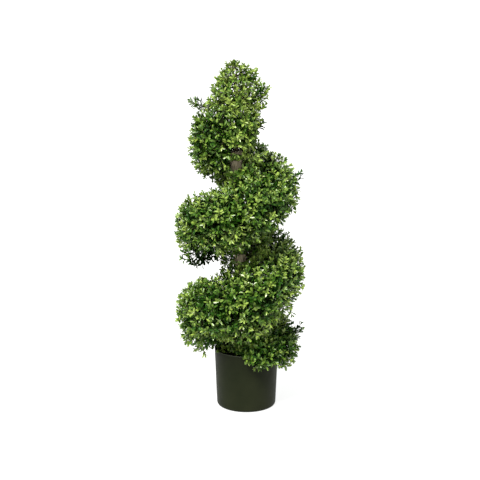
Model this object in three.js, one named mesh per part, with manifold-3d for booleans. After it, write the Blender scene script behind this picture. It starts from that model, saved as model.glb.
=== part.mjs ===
// A potted spiral topiary of artificial boxwood, in millimetres, +Z up.
// The origin is the centre of the pot's flat underside. -Y is the front, +X the right-hand side.
//
// A weighted plastic pot holds a wooden pole. A band of boxwood sprigs winds up round the pole and its thin
// leader, and a tuft closes the top. The band is cut by upright planes into masses, six to a turn. Each mass
// is one solid: a dense core, the stem that carries it, and leafy twigs that stand out of the core.
import * as THREE from "three";
import { mergeVertices } from "three/addons/utils/BufferGeometryUtils.js";
import Module from "manifold-3d";

const wasm = await Module();
wasm.setup();

// ---- Sizes ----
const TOTAL_HEIGHT = 1067;
const GAP = 0.3; // clearance where one piece meets another
const MARGIN = 3; // from the pot and the limbs to the cores, twigs and leaves

const POT = {
  height: 182,
  rimRadius: 97.5,
  baseRadius: 90.5,
  footRadius: 80,
  edge: 10, // the height of the rounded edge round its foot
  wall: 3,
  sides: 36,
  curveSteps: 2,
};
const FILLING = { top: 160, crown: 4, sides: 24 };
const POLE = { top: 792, footRadius: 19.5, topRadius: 17.5, sides: 14, steps: 12 };
const LEADER = { footRadius: 8, topRadius: 4.5, sides: 8, steps: 3 };
const LEAN = { drift: 31, height: 740 }; // how far the plant drifts to -X, and over what height

// The band of foliage. Turn 0 is on the right-hand side and turn 0.25 at the back.
const MASSES_PER_TURN = 6;
const MASSES = 22;
const FIRST_TURN = -0.28;
const LAST_TURN = FIRST_TURN + MASSES / MASSES_PER_TURN;
const ROUND_END = 0.08; // the turns over which the band rounds off at each end
const SMALLEST_END = 0.3; // the share of its full section that the band has at its very ends
const BAND_INNER = 12; // where the band's section begins, from the pole's axis
// 1 would give the band an elliptical section, and less gives a squarer one. It is squarest and a little
// swollen where it meets the pole, so that it closes round the pole without a furrow.
const SQUARENESS = { outside: 0.87, atPole: 0.42 };
const SWELL = 0.3;

// The height of the band's middle, how far it reaches from the pole's axis and its depth to either side of its
// middle, each as turns and the values there.
const HEIGHT_TURNS = [-0.3, 0, 0.5, 0.75, 1, 1.5, 2, 2.5, 3, 3.4];
const RISE = keysOf(HEIGHT_TURNS, [188, 202, 288, 354, 431, 557, 684, 816, 874, 912]);
const REACH = keysOf([-0.3, 0, 0.5, 1, 2, 2.5, 3, 3.4], [152, 175, 214, 202, 193, 146, 73, 74]);
const DEPTH = keysOf(HEIGHT_TURNS, [60, 91, 124, 114, 102, 112, 96, 113, 76, 30]);

function keysOf(turns, values) {
  return turns.map((turn, i) => [turn, values[i]]);
}

// The tuft on top: a cone, or for a blunt under 1 a rounder form, whose base is shifted to -X.
const TUFT = { base: 932, radius: 96, shift: 9, blunt: 0.62, foot: 8, leafSize: 0.85 };
const SEAM = 0.6; // from all that a mass holds to the upright plane between it and the next
const CORE = { share: 0.7, sides: 10, steps: 3 }; // share: its size over that of the whole mass
const STEM = { footRadius: 5, tipRadius: 4, sides: 6 };
const TWIG = { footRadius: 2.6, tipRadius: 1.7, sides: 3 };
const TWIG_SPACING = 82; // between the tips of a full-sized mass
const TIP_SHARES = [0.88, 1]; // how far out the twigs' tips lie, where 1 is on the mass's outline
const TOUCHING = 0.01; // the share by which a leaf may pass the outline
const TIP_CLEARANCE = 10; // from a twig's tip to the planes beside its mass
const TIP_TRIES = 400;
const ROOT_SPREAD = 0.8; // the share of a mass's length that its twigs branch from
const FULL_SIZE = 125; // the half diagonal of a full-sized mass: a smaller one has smaller leaves

// A leaf's width, thickness and widest place are shares of its length. Its root is sunk into its twig.
const LEAF = { length: 36, shortest: 24, width: 0.52, thickness: 0.06, widest: 0.58, sunk: 1.2, atEnd: 0.85 };
// The pairs of leaves on a twig: how far below its end in leaf lengths, and how wide they open in degrees.
const PAIRS = [{ below: 0, open: 44 }, { below: 0.2, open: 72 }];
const OPEN_SPREAD = 16;
const SEED = 20;

// ---- Helpers ----
const TURN = 2 * Math.PI;

// A stream of random numbers from 0 to 1 that a seed fixes.
function seeded(seed) {
  let state = seed;
  return () => {
    state = (state + 0x6d2b79f5) | 0;
    let x = Math.imul(state ^ (state >>> 15), 1 | state);
    x = (x + Math.imul(x ^ (x >>> 7), 61 | x)) ^ x;
    return ((x ^ (x >>> 14)) >>> 0) / 2 ** 32;
  };
}

// The value at a turn on a smooth curve through [turn, value] keys. Its slope at a key is that between the
// neighbours of the key.
function along(keys, turn) {
  const last = keys.length - 1;
  let i = 0;
  while (i < last - 1 && turn > keys[i + 1][0]) i++;
  const slope = (k) => {
    const [before, after] = [keys[Math.max(k - 1, 0)], keys[Math.min(k + 1, last)]];
    return (after[1] - before[1]) / (after[0] - before[0]);
  };
  const [[t0, v0], [t1, v1]] = [keys[i], keys[i + 1]];
  const span = t1 - t0;
  const u = THREE.MathUtils.clamp((turn - t0) / span, 0, 1);
  const ends = v0 * (1 + 2 * u) * (1 - u) ** 2 + v1 * u * u * (3 - 2 * u);
  return ends + span * (slope(i) * u * (1 - u) ** 2 - slope(i + 1) * u * u * (1 - u));
}

const fromAxis = (radius, angle, z) => {
  return new THREE.Vector3(radius * Math.cos(angle), radius * Math.sin(angle), z);
};

// Moves each vertex of a geometry to where place(vertex) says.
function reshape(geometry, place) {
  const position = geometry.getAttribute("position");
  const vertex = new THREE.Vector3();
  for (let i = 0; i < position.count; i++) {
    const moved = place(vertex.fromBufferAttribute(position, i));
    position.setXYZ(i, moved.x, moved.y, moved.z);
  }
  return geometry;
}

function solidOf(geometry) {
  const bare = geometry.clone();
  const extras = Object.keys(bare.attributes).filter((name) => name !== "position");
  extras.forEach((name) => bare.deleteAttribute(name));
  const merged = mergeVertices(bare, 1e-3);
  const vertProperties = merged.attributes.position.array;
  return new wasm.Manifold(new wasm.Mesh({ numProp: 3, vertProperties, triVerts: merged.index.array }));
}

function geometryOf(solid) {
  const mesh = solid.getMesh();
  const geometry = new THREE.BufferGeometry();
  geometry.setAttribute("position", new THREE.BufferAttribute(mesh.vertProperties, 3));
  geometry.setIndex(new THREE.BufferAttribute(mesh.triVerts, 1));
  geometry.computeVertexNormals();
  return geometry;
}

// Fuses solids. Scraps that touch nothing and hollows sealed inside are left out.
function fuse(solids) {
  const bodies = solids.reduce((all, one) => all.add(one)).decompose();
  return bodies.reduce((best, one) => (one.volume() > best.volume() ? one : best));
}

// A straight tapering rod between two points.
function rod(from, to, footRadius, tipRadius, sides) {
  const way = to.clone().sub(from);
  const turned = new THREE.Quaternion().setFromUnitVectors(new THREE.Vector3(0, 1, 0), way.clone().normalize());
  return new THREE.CylinderGeometry(tipRadius, footRadius, way.length(), sides)
    .applyQuaternion(turned)
    .translate(...from.clone().add(to).multiplyScalar(0.5));
}

// ---- The leaning pole ----
function leanAt(z) {
  const share = THREE.MathUtils.clamp((z - FILLING.top) / LEAN.height, 0, 1);
  return -LEAN.drift * Math.sin((share * Math.PI) / 2);
}

// Everything on the plant is shaped round an upright axis first, and then leans with the pole.
const lean = (geometry) => reshape(geometry, (v) => v.setX(v.x + leanAt(v.z)));

function poleRadius(z) {
  const share = (z - FILLING.top) / (POLE.top - FILLING.top);
  return THREE.MathUtils.lerp(POLE.footRadius, POLE.topRadius, share);
}

function leaderRadius(z) {
  const share = (z - POLE.top) / (TUFT.base - POLE.top);
  return THREE.MathUtils.lerp(LEADER.footRadius, LEADER.topRadius, share);
}

const carrierRadius = (z) => (z < POLE.top ? poleRadius(z) : leaderRadius(z));

// An upright round form whose radius at each height is radiusAt(z).
function upright(foot, top, radiusAt, sides, steps) {
  const geometry = new THREE.CylinderGeometry(1, 1, top - foot, sides, steps).rotateX(Math.PI / 2);
  geometry.translate(0, 0, (foot + top) / 2);
  return reshape(geometry, (v) => {
    const radius = radiusAt(v.z);
    return v.set(v.x * radius, v.y * radius, v.z);
  });
}

// ---- The pot and its filling ----
function potGeometry() {
  const { height, rimRadius, baseRadius, footRadius, edge, wall, sides } = POT;
  const profile = new THREE.Path();
  profile.moveTo(0, 0);
  profile.lineTo(footRadius, 0);
  profile.quadraticCurveTo(baseRadius, 0, baseRadius, edge);
  profile.lineTo(rimRadius, height - wall / 2);
  profile.quadraticCurveTo(rimRadius, height, rimRadius - wall / 2, height);
  profile.quadraticCurveTo(rimRadius - wall, height, rimRadius - wall, height - wall / 2);
  profile.lineTo(baseRadius - wall, edge + wall);
  profile.quadraticCurveTo(baseRadius - wall, wall, footRadius, wall);
  profile.lineTo(0, wall);
  return new THREE.LatheGeometry(profile.getPoints(POT.curveSteps), sides).rotateX(Math.PI / 2);
}

function potInside(z) {
  const { height, rimRadius, baseRadius, edge, wall } = POT;
  return THREE.MathUtils.mapLinear(z, edge + wall, height, baseRadius - wall, rimRadius - wall);
}

function fillingGeometry() {
  const bottom = POT.wall + GAP;
  const corner = POT.edge + POT.wall;
  const clear = 4 * GAP; // the pot's wall is a polygon, and so is the filling's side
  const profile = new THREE.Path();
  profile.moveTo(0, bottom);
  profile.lineTo(POT.footRadius - clear, bottom);
  profile.lineTo(potInside(corner) - clear, corner);
  profile.lineTo(potInside(FILLING.top) - clear, FILLING.top - FILLING.crown);
  profile.quadraticCurveTo(POT.baseRadius / 2, FILLING.top, POLE.footRadius + FILLING.crown, FILLING.top);
  profile.lineTo(0, FILLING.top);
  return new THREE.LatheGeometry(profile.getPoints(POT.curveSteps), FILLING.sides).rotateX(Math.PI / 2);
}

// ---- Foliage: where it goes ----
// The band's section at a turn. It rounds off towards the band's two ends.
function band(turn) {
  const reach = along(REACH, turn);
  const toEnd = Math.min(turn - FIRST_TURN, LAST_TURN - turn, ROUND_END) / ROUND_END;
  const full = Math.max(SMALLEST_END, Math.sqrt(1 - (1 - toEnd) ** 2));
  return {
    angle: turn * TURN,
    radius: (reach + BAND_INNER) / 2,
    height: along(RISE, turn),
    halfWidth: (full * (reach - BAND_INNER)) / 2,
    halfHeight: full * along(DEPTH, turn),
  };
}

const powered = (x, power) => Math.sign(x) * Math.abs(x) ** power;

// The outline of the band's section, one unit wide and high to either side. around is 0 on its outside and a
// quarter turn on its top.
function section(around) {
  const atPole = Math.max(-Math.cos(around), 0);
  const power = THREE.MathUtils.lerp(SQUARENESS.outside, SQUARENESS.atPole, atPole);
  return {
    across: powered(Math.cos(around), SQUARENESS.outside),
    up: (1 + SWELL * atPole) * powered(Math.sin(around), power),
  };
}

// A point of the band. share is 0 in its middle and 1 on its outline.
function inBand(turn, around, share) {
  const { angle, radius, height, halfWidth, halfHeight } = band(turn);
  const { across, up } = section(around);
  return fromAxis(radius + share * halfWidth * across, angle, height + share * halfHeight * up);
}

// How far out a point is in the band's section at a turn: 0 in the middle, 1 on the outline.
function shareInBand(point, turn) {
  const { radius, height, halfWidth, halfHeight } = band(turn);
  const across = (Math.hypot(point.x, point.y) - radius) / halfWidth;
  const up = Math.abs(point.z - height) / halfHeight;
  const bearing = Math.atan2(up, across);
  let [low, high] = [0, Math.PI];
  for (let halving = 0; halving < 20; halving++) {
    const middle = (low + high) / 2;
    const there = section(middle);
    if (Math.atan2(there.up, there.across) < bearing) low = middle;
    else high = middle;
  }
  const outline = section(low);
  return Math.hypot(across, up) / Math.hypot(outline.across, outline.up);
}

// The spaces that no core, twig or leaf may touch: the pot and the limbs with a margin round them, and for the
// band also the tuft's.
function potAndLimbs() {
  const { height, rimRadius, sides } = POT;
  const pot = upright(MARGIN, height + MARGIN, () => rimRadius + MARGIN, sides, 1);
  const pole = upright(FILLING.top, POLE.top + MARGIN, (z) => poleRadius(z) + MARGIN, POLE.sides, 1);
  const leader = upright(POLE.top, TUFT.base, (z) => leaderRadius(z) + MARGIN, LEADER.sides, 1);
  return solidOf(pot).add(solidOf(pole)).add(solidOf(leader));
}

const tuftSpace = upright(TUFT.base - GAP, TOTAL_HEIGHT, () => 2 * TUFT.radius, CORE.sides, 1);
const clearOfTuft = potAndLimbs();
const clearOfBand = clearOfTuft.add(solidOf(tuftSpace));

// One mass of the band: where its twigs end and branch from, and the space that it keeps to.
function bandMass(index) {
  const from = FIRST_TURN + index / MASSES_PER_TURN;
  const to = from + 1 / MASSES_PER_TURN;
  const middle = (from + to) / 2;
  const turnAt = (share) => THREE.MathUtils.lerp(from, to, share);
  const [plane, nextPlane] = [from, to].map((turn) => fromAxis(1, (turn + 0.25) * TURN, 0));
  const toPlanes = (p) => Math.min(plane.dot(p), -nextPlane.dot(p));
  const turnOf = (p) => {
    const turns = Math.atan2(p.y, p.x) / TURN - middle;
    return middle + turns - Math.round(turns);
  };
  return {
    toPlanes,
    furthest: { tip: inBand(middle, 0, 1), root: inBand(middle, 0, 0) },
    tip: (u, v, share) => inBand(turnAt(u), v * TURN, share),
    root: (u) => inBand(turnAt(0.5 + ROOT_SPREAD * (u - 0.5)), 0, 0),
    holds: (p) => toPlanes(p) > SEAM && shareInBand(p, turnOf(p)) < 1 + TOUCHING,
    keptClear: clearOfBand,
    size: Math.min(1, Math.hypot(band(middle).halfWidth, band(middle).halfHeight) / FULL_SIZE),
    core: bandCore(from, to),
    stem: bandStem(middle),
  };
}

function bandCore(from, to) {
  const { radius, halfWidth } = band((from + to) / 2);
  const inset = SEAM / (TURN * (radius - CORE.share * halfWidth)); // in turns, enough at the core's inner side
  const core = new THREE.CylinderGeometry(1, 1, 1, CORE.sides, CORE.steps);
  reshape(core, ({ x, y, z }) => {
    const turn = THREE.MathUtils.lerp(from + inset, to - inset, y + 0.5);
    return inBand(turn, Math.atan2(z, x), CORE.share * Math.hypot(x, z));
  });
  return solidOf(core).subtract(clearOfBand);
}

function bandStem(turn) {
  const { angle, radius, height } = band(turn);
  const from = fromAxis(carrierRadius(height) + GAP, angle, height);
  return solidOf(rod(from, fromAxis(radius, angle, height), STEM.footRadius, STEM.tipRadius, STEM.sides));
}

// The tuft that closes the top, on the leader's tip.
function tuftMass() {
  const { base, radius, shift, blunt, foot, leafSize } = TUFT;
  const coreTop = TOTAL_HEIGHT - LEAF.length;
  const stemTop = (base + coreTop) / 2;
  const taper = (z) => THREE.MathUtils.clamp((TOTAL_HEIGHT - z) / (TOTAL_HEIGHT - base), 0, 1);
  const radiusAt = (z) => radius * taper(z) ** blunt;
  const aside = (p) => p.setX(p.x - shift * taper(p.z));
  const onCone = (z) => THREE.MathUtils.mapLinear(z, base, coreTop, base, TOTAL_HEIGHT - foot);
  const coreRadius = (z) => CORE.share * radiusAt(onCone(z));
  const core = upright(base + 2 * GAP, coreTop, coreRadius, CORE.sides, CORE.steps);
  const stem = upright(base + GAP, stemTop, () => STEM.tipRadius, STEM.sides, 1);
  return {
    toPlanes: () => Infinity,
    furthest: { tip: fromAxis(foot, Math.PI, TOTAL_HEIGHT), root: fromAxis(0, 0, stemTop) },
    tip: (u, v, share) => {
      const z = THREE.MathUtils.lerp(base + foot, TOTAL_HEIGHT, v);
      return aside(fromAxis(share * radiusAt(z), u * TURN, z));
    },
    root: (u, v) => aside(fromAxis(0, 0, THREE.MathUtils.lerp(base + foot, stemTop, v))),
    holds: (p) => p.z > base + GAP && p.z <= TOTAL_HEIGHT,
    keptClear: clearOfTuft,
    size: leafSize,
    core: solidOf(reshape(core, aside)),
    stem: solidOf(stem),
  };
}

// ---- Foliage: what grows there ----
// One leaf of eight faces, from its root along way, with its flat side facing.
function leafGeometry(root, way, facing, length) {
  const across = facing.clone().cross(way).normalize();
  const basis = new THREE.Matrix4().makeBasis(way, across, facing).setPosition(root);
  const leaf = new THREE.OctahedronGeometry(1);
  reshape(leaf, ({ x, y, z }) => {
    const lengthwise = Math.abs(x) > 0.5 ? (x > 0 ? length : 0) : LEAF.widest * length;
    return new THREE.Vector3(lengthwise, (y * LEAF.width * length) / 2, (z * LEAF.thickness * length) / 2);
  });
  return leaf.applyMatrix4(basis);
}

// Whether a shape keeps to what holds(corner) allows, and touches nothing that has to stay clear.
function fits(geometry, holds, keptClear) {
  const position = geometry.getAttribute("position");
  const corner = new THREE.Vector3();
  for (let i = 0; i < position.count; i++) {
    if (!holds(corner.fromBufferAttribute(position, i))) return false;
  }
  return solidOf(geometry).intersect(keptClear).isEmpty();
}

// The twigs of a mass: the furthest, then random ones, each tip kept a spacing away from those before it.
function twigsOf(mass, random) {
  const spacing = TWIG_SPACING * mass.size;
  const twigs = [mass.furthest];
  for (let tries = 0; tries < TIP_TRIES; tries++) {
    const [u, v] = [random(), random()];
    const tip = mass.tip(u, v, THREE.MathUtils.lerp(...TIP_SHARES, random()));
    const inside = mass.toPlanes(tip) > TIP_CLEARANCE && mass.holds(tip);
    const apart = twigs.every((other) => other.tip.distanceTo(tip) > spacing);
    if (inside && apart) twigs.push({ tip, root: mass.root(u, v) });
  }
  return twigs;
}

// A twig with crossed pairs of leaves, and one leaf at its end. Near the mass's planes they spread along them.
function sprig(mass, { tip, root }, random) {
  const out = tip.clone().sub(root).normalize();
  const length = THREE.MathUtils.clamp(LEAF.length * mass.size, LEAF.shortest, LEAF.length);
  if (tip.distanceTo(root) < length) return [];

  const onTwig = (fromTip) => tip.clone().addScaledVector(out, -fromTip);
  const endLeaf = LEAF.atEnd * length;
  const twig = rod(root, onTwig(endLeaf - LEAF.sunk), TWIG.footRadius, TWIG.tipRadius, TWIG.sides);
  if (!fits(twig, (p) => mass.toPlanes(p) > SEAM, mass.keptClear)) return [];

  const side = new THREE.Vector3(-tip.y, tip.x, 0).cross(out).normalize();
  if (mass.toPlanes(tip) > length) side.applyAxisAngle(out, random() * Math.PI);
  const leaves = PAIRS.flatMap(({ below, open }, pair) =>
    [1, -1].map((sign) => {
      const sideways = side.clone().applyAxisAngle(out, (pair * Math.PI) / 2).multiplyScalar(sign);
      const angle = THREE.MathUtils.degToRad(open + OPEN_SPREAD * (random() - 0.5));
      const way = out.clone().multiplyScalar(Math.cos(angle)).addScaledVector(sideways, Math.sin(angle));
      const facing = out.clone().multiplyScalar(Math.sin(angle)).addScaledVector(sideways, -Math.cos(angle));
      return leafGeometry(onTwig(endLeaf + below * length), way, facing, length);
    }),
  );
  leaves.push(leafGeometry(onTwig(endLeaf), out, side, endLeaf));
  return [twig, ...leaves.filter((leaf) => fits(leaf, mass.holds, mass.keptClear))];
}

function massGeometry(mass, seed) {
  const random = seeded(seed);
  const sprigs = twigsOf(mass, random).flatMap((twig) => sprig(mass, twig, random));
  return lean(geometryOf(fuse([mass.core, mass.stem, ...sprigs.map(solidOf)])));
}

// ---- Materials ----
const material = (color, roughness) => new THREE.MeshStandardMaterial({ color, roughness, metalness: 0 });
const potPlastic = material(0x2c2e24, 0.5);
const darkFilling = material(0x15130f, 0.95);
const bark = material(0x6f5f52, 0.85);
const LEAF_GREENS = [0x4f7a2c, 0x5d8a33, 0x416b27].map((green) => material(green, 0.45));

// ---- Assembly ----
const topiary = new THREE.Group();

function addPiece(name, geometry, finish) {
  const mesh = new THREE.Mesh(geometry, finish);
  mesh.name = name;
  topiary.add(mesh);
}

addPiece("pot", potGeometry(), potPlastic);
addPiece("pot_filling", fillingGeometry(), darkFilling);
addPiece("trunk", lean(upright(FILLING.top + GAP, POLE.top, poleRadius, POLE.sides, POLE.steps)), bark);
addPiece("leader", lean(upright(POLE.top + GAP, TUFT.base, leaderRadius, LEADER.sides, LEADER.steps)), bark);

const TURN_NAMES = ["lower", "middle", "upper", "top"];
const SIDE_NAMES = ["front_right", "right", "back_right", "back_left", "left", "front_left"];
for (let i = 0; i < MASSES; i++) {
  const name = `foliage_${TURN_NAMES[Math.floor(i / MASSES_PER_TURN)]}_${SIDE_NAMES[i % MASSES_PER_TURN]}`;
  addPiece(name, massGeometry(bandMass(i), SEED + i), LEAF_GREENS[i % LEAF_GREENS.length]);
}
addPiece("foliage_tip_tuft", massGeometry(tuftMass(), SEED + MASSES), LEAF_GREENS[1]);

export default topiary;
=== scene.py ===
# %% [markdown]
# # A boxwood spiral in its nursery pot
# The real thing is an artificial patio plant. A weighted plastic pot holds a wooden pole, and a band of
# sprigs with small oval leaves winds up round that pole to a loose tuft. This lesson makes the pot, its
# filling and the pole first. Then it works out where the sprigs end, because the clipped outline is what one
# sees, and only after that the twigs and boughs that carry them. Each piece stands where a frame of plain
# solids says, so the first step loads that frame and notes its box.

# %% Load the frame
import math

import bpy
import numpy as np
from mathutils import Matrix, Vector


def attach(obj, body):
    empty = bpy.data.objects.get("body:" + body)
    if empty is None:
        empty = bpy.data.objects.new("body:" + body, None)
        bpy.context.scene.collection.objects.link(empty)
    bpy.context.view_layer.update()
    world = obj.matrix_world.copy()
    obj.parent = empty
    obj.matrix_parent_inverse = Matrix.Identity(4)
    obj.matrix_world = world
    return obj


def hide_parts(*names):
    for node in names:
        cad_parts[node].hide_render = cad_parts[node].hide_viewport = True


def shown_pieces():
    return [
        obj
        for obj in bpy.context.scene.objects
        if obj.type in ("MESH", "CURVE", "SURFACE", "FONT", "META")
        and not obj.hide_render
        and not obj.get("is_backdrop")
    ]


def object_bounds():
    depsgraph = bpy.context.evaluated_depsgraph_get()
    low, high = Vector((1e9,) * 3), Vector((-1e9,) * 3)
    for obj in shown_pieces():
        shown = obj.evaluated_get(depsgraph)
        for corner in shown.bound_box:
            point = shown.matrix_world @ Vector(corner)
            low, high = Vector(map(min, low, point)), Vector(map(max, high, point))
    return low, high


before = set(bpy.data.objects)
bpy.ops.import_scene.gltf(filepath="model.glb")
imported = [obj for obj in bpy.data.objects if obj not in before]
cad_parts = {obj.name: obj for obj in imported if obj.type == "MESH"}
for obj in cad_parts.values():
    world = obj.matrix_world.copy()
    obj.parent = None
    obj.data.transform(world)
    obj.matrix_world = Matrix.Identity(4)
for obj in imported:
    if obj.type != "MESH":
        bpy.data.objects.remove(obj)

cad_box = [list(corner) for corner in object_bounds()]
NODES = list(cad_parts)
MM = 0.001
print("frame box in metres:", [[round(value, 3) for value in corner] for corner in cad_box])

# %% [markdown]
# ## Camera
# A long lens from about four metres keeps the pot and the tip of the plant in proportion, as a catalogue
# view does. The camera stands a little above the plant and is tipped down, so the tops of the turns show
# and a little of the gap between them.

# %% Camera
CAMERA_PLACE = (-0.0195, -4.0, 1.5)
CAMERA_DIP = 13.768  # degrees below the horizon
CAMERA_LENS = 102.44  # millimetres, in front of a sensor 36 mm wide

camera_data = bpy.data.cameras.new("studio_camera")
camera_data.sensor_width = 36.0
camera_data.lens = CAMERA_LENS
camera = bpy.data.objects.new("studio_camera", camera_data)
camera.location = CAMERA_PLACE
camera.rotation_euler = (math.radians(90 - CAMERA_DIP), 0, 0)
bpy.context.collection.objects.link(camera)
bpy.context.scene.camera = camera
print("camera", CAMERA_PLACE, "lens", CAMERA_LENS, "mm")

# %% [markdown]
# ## Light and floor
# A white room lights the plant from all sides, most of all from above, so the undersides of the turns fall
# into shade. One wide soft key light from the upper left front gives the leaves their sheen. The key light is
# a sun with a very wide disc, because its light doesn't fade with distance and so the floor stays even. The
# floor is a sheet of opal plastic lit from below, as on a studio's light table, which swallows the shadows.

# %% Light
SKY_LIGHT, HORIZON_LIGHT = 1.05, 0.92
ROOM_COLOUR = (0.95, 1.0, 0.95, 1)
KEY_LIGHT = 7.6
KEY_WIDTH = 18  # degrees across
KEY_COLOUR = (1.0, 0.98, 0.92)
KEY_DIRECTION = (0.45, 0.9, -1.25)

scene = bpy.context.scene
scene.view_settings.view_transform = "Standard"
world = bpy.data.worlds.new("white_room")
world.use_nodes = True
room = world.node_tree
background = room.nodes["Background"]
background.inputs["Color"].default_value = ROOM_COLOUR
direction = room.nodes.new("ShaderNodeTexCoord")
height = room.nodes.new("ShaderNodeSeparateXYZ")
strength = room.nodes.new("ShaderNodeMapRange")
strength.inputs["To Min"].default_value = HORIZON_LIGHT
strength.inputs["To Max"].default_value = SKY_LIGHT
room.links.new(direction.outputs["Generated"], height.inputs["Vector"])
room.links.new(height.outputs["Z"], strength.inputs["Value"])
room.links.new(strength.outputs["Result"], background.inputs["Strength"])
scene.world = world

key_data = bpy.data.lights.new("key_light", "SUN")
key_data.energy = KEY_LIGHT
key_data.angle = math.radians(KEY_WIDTH)
key_data.color = KEY_COLOUR
key = bpy.data.objects.new("key_light", key_data)
key.rotation_euler = Vector(KEY_DIRECTION).to_track_quat("-Z", "Y").to_euler()
bpy.context.collection.objects.link(key)
print("room light", HORIZON_LIGHT, "to", SKY_LIGHT, "key light", KEY_LIGHT)

# %% Floor
FLOOR_HALF = 40.0  # metres
FLOOR_DROP = 0.0005  # metres, which keeps the floor from flickering in the pot's underside


def plain_object(name, mesh, *materials):
    """An object at the origin that holds a mesh and its materials."""
    made = bpy.data.objects.new(name, mesh)
    for one in materials:
        made.data.materials.append(one)
    bpy.context.collection.objects.link(made)
    return made


floor_corners = [
    (x * FLOOR_HALF, y * FLOOR_HALF, -FLOOR_DROP) for x, y in ((-1, -1), (1, -1), (1, 1), (-1, 1))
]
floor_mesh = bpy.data.meshes.new("floor")
floor_mesh.from_pydata(floor_corners, [], [(0, 1, 2, 3)])
print("floor", 2 * FLOOR_HALF, "m wide")

# %% [markdown]
# ## A plain finish
# Every finish here is one Principled shader. What is the same all over a surface is set on the shader's own
# socket. The floor needs no more than that: a dull grey sheet that glows.

# %% Floor finish
FLOOR_GLOW = 0.85


def finish_of(name, base, roughness, specular=0.5):
    """A new material whose shader has a base colour, a roughness and a strength of its mirroring."""
    made = bpy.data.materials.new(name)
    made.use_nodes = True
    tree = made.node_tree
    shader = tree.nodes["Principled BSDF"]
    shader.inputs["Base Color"].default_value = (*base, 1)
    shader.inputs["Roughness"].default_value = roughness
    shader.inputs["Specular IOR Level"].default_value = specular
    return made


opal_floor = finish_of("opal_floor", (0.2, 0.2, 0.2), 0.9, 0.1)
opal_shader = opal_floor.node_tree.nodes["Principled BSDF"]
opal_shader.inputs["Emission Color"].default_value = (1, 1, 1, 1)
opal_shader.inputs["Emission Strength"].default_value = FLOOR_GLOW
floor = plain_object("floor", floor_mesh, opal_floor)
floor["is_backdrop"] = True
print("floor finish:", opal_floor.name)

# %% [markdown]
# ## Pot
# The pot is a plain tapered nursery pot with a thin wall and a rounded foot. It is a turned shape, so it is
# made from one profile carried round the axis. Screw and Spin would do the same by hand; writing the rings
# out as arrays keeps the points where the frame's solid has them, with far more sides.

# %% Pot profile
POT = dict(height=182, rim=97.5, base=90.5, foot=80, edge=10, wall=3)


def arc(start, corner, end, steps):
    """Points on a rounded corner between two points of a profile."""
    t = np.linspace(0, 1, steps)[:, None]
    start, corner, end = map(np.array, (start, corner, end))
    return start * (1 - t) ** 2 + 2 * corner * t * (1 - t) + end * t**2


def pot_profile(height, rim, base, foot, edge, wall):
    """The outside from the middle of the underside up to the rim, and the inside back down."""
    half = wall / 2
    return np.concatenate(
        [
            [(0, 0)],
            arc((foot, 0), (base, 0), (base, edge), 8),
            np.linspace((base, edge), (rim, height - half), 12)[1:-1],
            arc((rim, height - half), (rim, height), (rim - half, height), 5),
            arc((rim - half, height), (rim - wall, height), (rim - wall, height - half), 5)[1:],
            arc((base - wall, edge + wall), (base - wall, wall), (foot, wall), 6),
            [(0, wall)],
        ]
    )


print("points of the pot's profile:", len(pot_profile(**POT)))

# %% Pot shape
POT_SIDES = 128


def turned(name, profile, sides):
    """A mesh that carries a profile of (radius, height) points once round the axis.

    The profile runs from the axis to the axis, and its faces point to its right as seen going along it."""
    radius, height = np.array(profile, float).T
    angle = np.arange(sides) * math.tau / sides
    inner = slice(1, -1)
    rings = np.stack(
        [
            np.outer(radius[inner], np.cos(angle)),
            np.outer(radius[inner], np.sin(angle)),
            np.outer(height[inner], np.ones(sides)),
        ],
        -1,
    )
    count = len(rings)
    points = [(0, 0, height[0]), *map(tuple, rings.reshape(-1, 3)), (0, 0, height[-1])]
    at = lambda ring, side: 1 + ring * sides + side % sides
    faces = [(0, at(0, side + 1), at(0, side)) for side in range(sides)]
    for ring in range(count - 1):
        faces += [
            (at(ring, side), at(ring, side + 1), at(ring + 1, side + 1), at(ring + 1, side))
            for side in range(sides)
        ]
    last = len(points) - 1
    faces += [(last, at(count - 1, side), at(count - 1, side + 1)) for side in range(sides)]
    mesh = bpy.data.meshes.new(name)
    mesh.from_pydata(points, [], faces)
    mesh.shade_smooth()
    return mesh


def crease(mesh, angle=30):
    """Marks edges sharper than an angle, so that smooth shading stops there."""
    mesh.set_sharp_from_angle(angle=math.radians(angle))
    return mesh


pot_mesh = crease(turned("nursery_pot", pot_profile(**POT) * MM, POT_SIDES))
print("pot:", len(pot_mesh.polygons), "faces")

# %% [markdown]
# ## Varied finishes
# Moulded plastic and bark are never quite even. What varies over a surface, such as mottling, grain and the
# fine unevenness that breaks up a highlight, comes from noise on object coordinates, because that stays put
# when the plant is moved or seen from behind. The pot is matt and nearly black, and its lip is painted paler,
# a painted highlight where the rim catches the light. The lip is told from the rest by the height of its
# faces.

# %% Helpers that vary a finish
def add_node(tree, kind, values=(), **settings):
    """A node of a tree with its settings, and its inputs by name or place."""
    node = tree.nodes.new(kind)
    for setting, value in settings.items():
        setattr(node, setting, value)
    for socket, value in dict(values).items():
        node.inputs[socket].default_value = value
    return node


def noise_on(made, scale, detail=4.0, stretch=(1, 1, 1)):
    """Noise on a material's object coordinates, stretched along an axis where that is asked."""
    tree = made.node_tree
    place = add_node(tree, "ShaderNodeTexCoord")
    turn = add_node(tree, "ShaderNodeMapping", {"Scale": stretch})
    noise = add_node(tree, "ShaderNodeTexNoise", {"Scale": scale, "Detail": detail})
    tree.links.new(place.outputs["Object"], turn.inputs["Vector"])
    tree.links.new(turn.outputs["Vector"], noise.inputs["Vector"])
    return noise.outputs["Fac"]


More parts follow.
